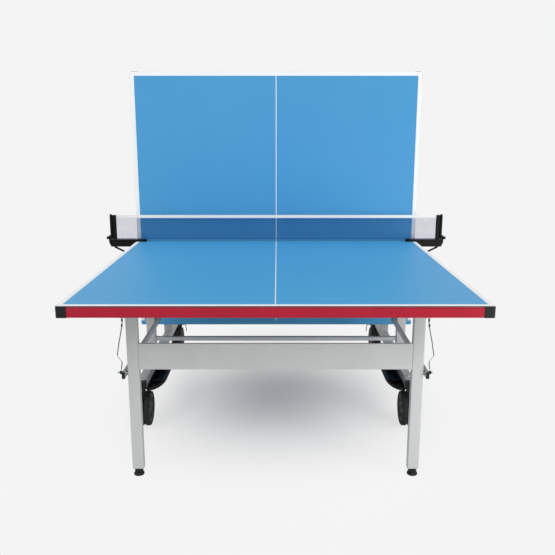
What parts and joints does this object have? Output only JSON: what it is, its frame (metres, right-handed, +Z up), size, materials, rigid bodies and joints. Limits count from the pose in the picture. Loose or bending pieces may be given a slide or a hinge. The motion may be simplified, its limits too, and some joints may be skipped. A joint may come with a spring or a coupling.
{
  "type": "ping pong table",
  "caption": "Folding outdoor ping pong table on castors, one half down for play and the other upright behind the net for solo practice.",
  "frame": {"origin": "on the floor, under the middle of the whole table as it stands with one half upright", "axes": "+X along the net to the right, +Y away from the near player, +Z up"},
  "size_m": [1.847, 1.7934, 1.6515],
  "materials": {
    "top_sheet": "satin",
    "apron_paint": "satin",
    "frame_paint": "satin",
    "black_plastic": "matt, moulded",
    "hub_plastic": "satin, moulded",
    "tyre_rubber": "matt",
    "zinc_steel": "zinc plated",
    "cable_sheath": "satin",
    "net_fabric": "woven",
    "net_tape": "woven",
    "black_enamel": "satin"
  },
  "bodies": {
    "chassis": {"near_rails": "frame_paint", "near_posts": "frame_paint", "near_cross_bar": "frame_paint", "near_castor_blocks": "black_plastic", "near_pivot_bolts": "zinc_steel", "tray_left": "black_plastic", "tray_right": "black_plastic"},
    "near_top": {"near_tabletop": "top_sheet", "near_subframe": "frame_paint", "near_apron": "apron_paint", "near_corner_caps": "black_plastic", "near_hinge_pins": "zinc_steel", "net_clamps": "black_enamel", "net_clamp_levers": "black_enamel"},
    "near_leg_frame": {"near_legs": "frame_paint", "near_leg_panel": "frame_paint", "near_feet": "black_plastic", "near_leg_bolts": "zinc_steel", "near_cables": "cable_sheath"},
    "near_strut_pair": {"near_struts": "frame_paint", "near_strut_caps": "black_plastic"},
    "net_set": {"net_mesh": "net_fabric", "net_tape": "net_tape", "net_posts": "black_enamel"},
    "far_chassis": {"far_rails": "frame_paint", "far_slide_tubes": "frame_paint", "far_posts": "frame_paint", "far_cross_bar": "frame_paint", "far_castor_blocks": "black_plastic", "far_pivot_bolts": "zinc_steel"},
    "far_top": {"far_tabletop": "top_sheet", "far_subframe": "frame_paint", "far_apron": "apron_paint", "far_corner_caps": "black_plastic", "far_hinge_pins": "zinc_steel"},
    "far_leg_frame": {"far_legs": "frame_paint", "far_leg_panel": "frame_paint", "far_feet": "black_plastic", "far_leg_bolts": "zinc_steel", "far_cables": "cable_sheath"},
    "far_strut_pair": {"far_struts": "frame_paint", "far_strut_caps": "black_plastic"},
    "castor_near_left": {"yoke_near_left": "black_plastic"},
    "wheels_near_left": {"tyres_near_left": "tyre_rubber", "hubs_near_left": "hub_plastic"},
    "castor_far_left": {"yoke_far_left": "black_plastic"},
    "wheels_far_left": {"tyres_far_left": "tyre_rubber", "hubs_far_left": "hub_plastic"},
    "brake_left": {"brake_lever_left": "zinc_steel"},
    "lock_near_left": {"near_lock_pin_left": "zinc_steel"},
    "lock_far_left": {"far_lock_pin_left": "zinc_steel"},
    "castor_near_right": {"yoke_near_right": "black_plastic"},
    "wheels_near_right": {"tyres_near_right": "tyre_rubber", "hubs_near_right": "hub_plastic"},
    "castor_far_right": {"yoke_far_right": "black_plastic"},
    "wheels_far_right": {"tyres_far_right": "tyre_rubber", "hubs_far_right": "hub_plastic"},
    "brake_right": {"brake_lever_right": "zinc_steel"},
    "lock_near_right": {"near_lock_pin_right": "zinc_steel"},
    "lock_far_right": {"far_lock_pin_right": "zinc_steel"}
  },
  "joints": [
    {"name": "near_fold", "type": "hinge", "parent": "chassis", "child": "near_top", "pos_m": [0, 0.05875, 0.696], "axis": [-1, 0, 0], "range_deg": [0, 90]},
    {"name": "near_legs_fold", "type": "hinge", "parent": "near_top", "child": "near_leg_frame", "pos_m": [0, -0.67525, 0.696], "axis": [-1, 0, 0], "range_deg": [-90, 0]},
    {"name": "near_struts_fold", "type": "hinge", "parent": "chassis", "child": "near_strut_pair", "pos_m": [0, 0.05875, 0.43], "axis": [-1, 0, 0], "range_deg": [0, 90]},
    {"name": "net_tilt", "type": "hinge", "parent": "near_top", "child": "net_set", "pos_m": [0, 0.45675, 0.78], "axis": [-1, 0, 0], "range_deg": [-90, 0]},
    {"name": "far_fold", "type": "hinge", "parent": "far_chassis", "child": "far_top", "pos_m": [0, 0.54675, 0.696], "axis": [-1, 0, 0], "range_deg": [0, 90]},
    {"name": "far_legs_fold", "type": "hinge", "parent": "far_top", "child": "far_leg_frame", "pos_m": [0, 0.54675, 1.43], "axis": [-1, 0, 0], "range_deg": [-90, 0]},
    {"name": "far_struts_fold", "type": "hinge", "parent": "far_chassis", "child": "far_strut_pair", "pos_m": [0, 0.54675, 0.43], "axis": [-1, 0, 0], "range_deg": [0, 90]},
    {"name": "far_slide", "type": "slide", "parent": "chassis", "child": "far_chassis", "axis": [0, 1, 0], "range_m": [0, 0.35]},
    {"name": "swivel_near_left", "type": "hinge", "parent": "chassis", "child": "castor_near_left", "pos_m": [-0.611, -0.23925, 0.17], "axis": [0, 0, 1], "continuous": true},
    {"name": "roll_near_left", "type": "hinge", "parent": "castor_near_left", "child": "wheels_near_left", "pos_m": [-0.611, -0.21125, 0.08], "axis": [1, 0, 0], "continuous": true},
    {"name": "swivel_far_left", "type": "hinge", "parent": "far_chassis", "child": "castor_far_left", "pos_m": [-0.611, 0.84475, 0.17], "axis": [0, 0, 1], "continuous": true},
    {"name": "roll_far_left", "type": "hinge", "parent": "castor_far_left", "child": "wheels_far_left", "pos_m": [-0.611, 0.81675, 0.08], "axis": [1, 0, 0], "continuous": true},
    {"name": "brake_tilt_left", "type": "hinge", "parent": "castor_far_left", "child": "brake_left", "pos_m": [-0.611, 0.85375, 0.1688], "axis": [1, 0, 0], "range_deg": [0, 15]},
    {"name": "lock_pull_near_left", "type": "slide", "parent": "near_strut_pair", "child": "lock_near_left", "axis": [-1, 0, 0], "range_m": [0, 0.01], "stiffness_N_per_m": 400, "springref_m": -0.005},
    {"name": "lock_pull_far_left", "type": "slide", "parent": "far_strut_pair", "child": "lock_far_left", "axis": [-1, 0, 0], "range_m": [0, 0.01], "stiffness_N_per_m": 400, "springref_m": -0.005},
    {"name": "swivel_near_right", "type": "hinge", "parent": "chassis", "child": "castor_near_right", "pos_m": [0.611, -0.23925, 0.17], "axis": [0, 0, 1], "continuous": true},
    {"name": "roll_near_right", "type": "hinge", "parent": "castor_near_right", "child": "wheels_near_right", "pos_m": [0.611, -0.21125, 0.08], "axis": [1, 0, 0], "continuous": true},
    {"name": "swivel_far_right", "type": "hinge", "parent": "far_chassis", "child": "castor_far_right", "pos_m": [0.611, 0.84475, 0.17], "axis": [0, 0, 1], "continuous": true},
    {"name": "roll_far_right", "type": "hinge", "parent": "castor_far_right", "child": "wheels_far_right", "pos_m": [0.611, 0.81675, 0.08], "axis": [1, 0, 0], "continuous": true},
    {"name": "brake_tilt_right", "type": "hinge", "parent": "castor_far_right", "child": "brake_right", "pos_m": [0.611, 0.85375, 0.1688], "axis": [1, 0, 0], "range_deg": [0, 15]},
    {"name": "lock_pull_near_right", "type": "slide", "parent": "near_strut_pair", "child": "lock_near_right", "axis": [1, 0, 0], "range_m": [0, 0.01], "stiffness_N_per_m": 400, "springref_m": -0.005},
    {"name": "lock_pull_far_right", "type": "slide", "parent": "far_strut_pair", "child": "lock_far_right", "axis": [1, 0, 0], "range_m": [0, 0.01], "stiffness_N_per_m": 400, "springref_m": -0.005}
  ],
  "couplings": [
    {"joint": "near_legs_fold", "follows": "near_fold", "ratio": -1},
    {"joint": "near_struts_fold", "follows": "near_fold", "ratio": 1},
    {"joint": "net_tilt", "follows": "near_fold", "ratio": -1},
    {"joint": "far_legs_fold", "follows": "far_fold", "ratio": -1},
    {"joint": "far_struts_fold", "follows": "far_fold", "ratio": 1},
    {"joint": "far_slide", "follows": "far_fold", "m_per_rad": 0.2222}
  ]
}
